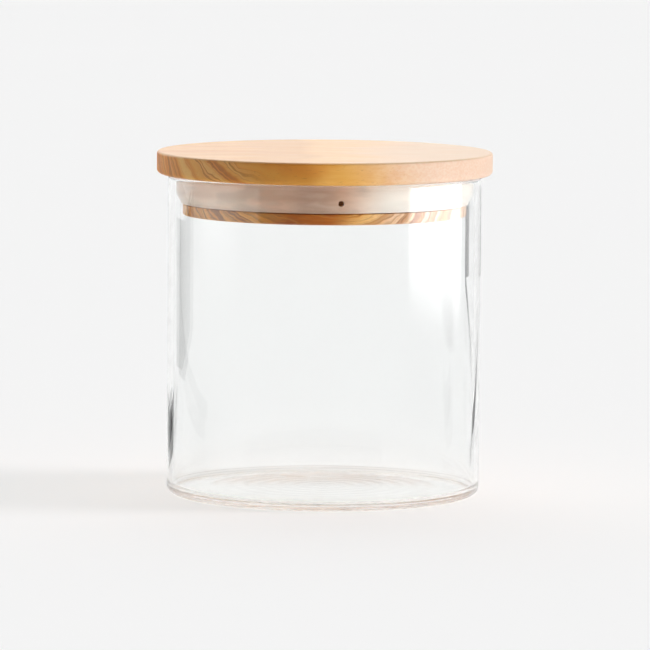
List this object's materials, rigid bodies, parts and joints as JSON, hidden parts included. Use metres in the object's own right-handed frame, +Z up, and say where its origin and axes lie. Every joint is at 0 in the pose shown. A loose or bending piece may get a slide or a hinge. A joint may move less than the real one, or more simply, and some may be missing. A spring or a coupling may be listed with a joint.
{
  "type": "glass canister",
  "caption": "Round straight-sided glass food canister with a turned olive-wood plug lid that lifts off and a translucent silicone seal.",
  "frame": {"origin": "middle of the jar's foot, on the surface it stands on", "axes": "+Z up along the jar's axis, -Y towards the viewer of the picture, +X to the viewer's right"},
  "size_m": [0.107, 0.107, 0.1093],
  "materials": {
    "glass": "clear blown glass, polished",
    "olive_wood": "turned olive wood, sanded smooth and lightly oiled",
    "silicone": "translucent milky silicone, satin"
  },
  "bodies": {
    "jar": {"glass_jar": "glass"},
    "lid": {"wood_lid": "olive_wood", "silicone_seal": "silicone"}
  },
  "joints": [
    {"name": "lid_lift", "type": "slide", "parent": "jar", "child": "lid", "axis": [0, 0, 1], "range_m": [0, 0.06]}
  ]
}
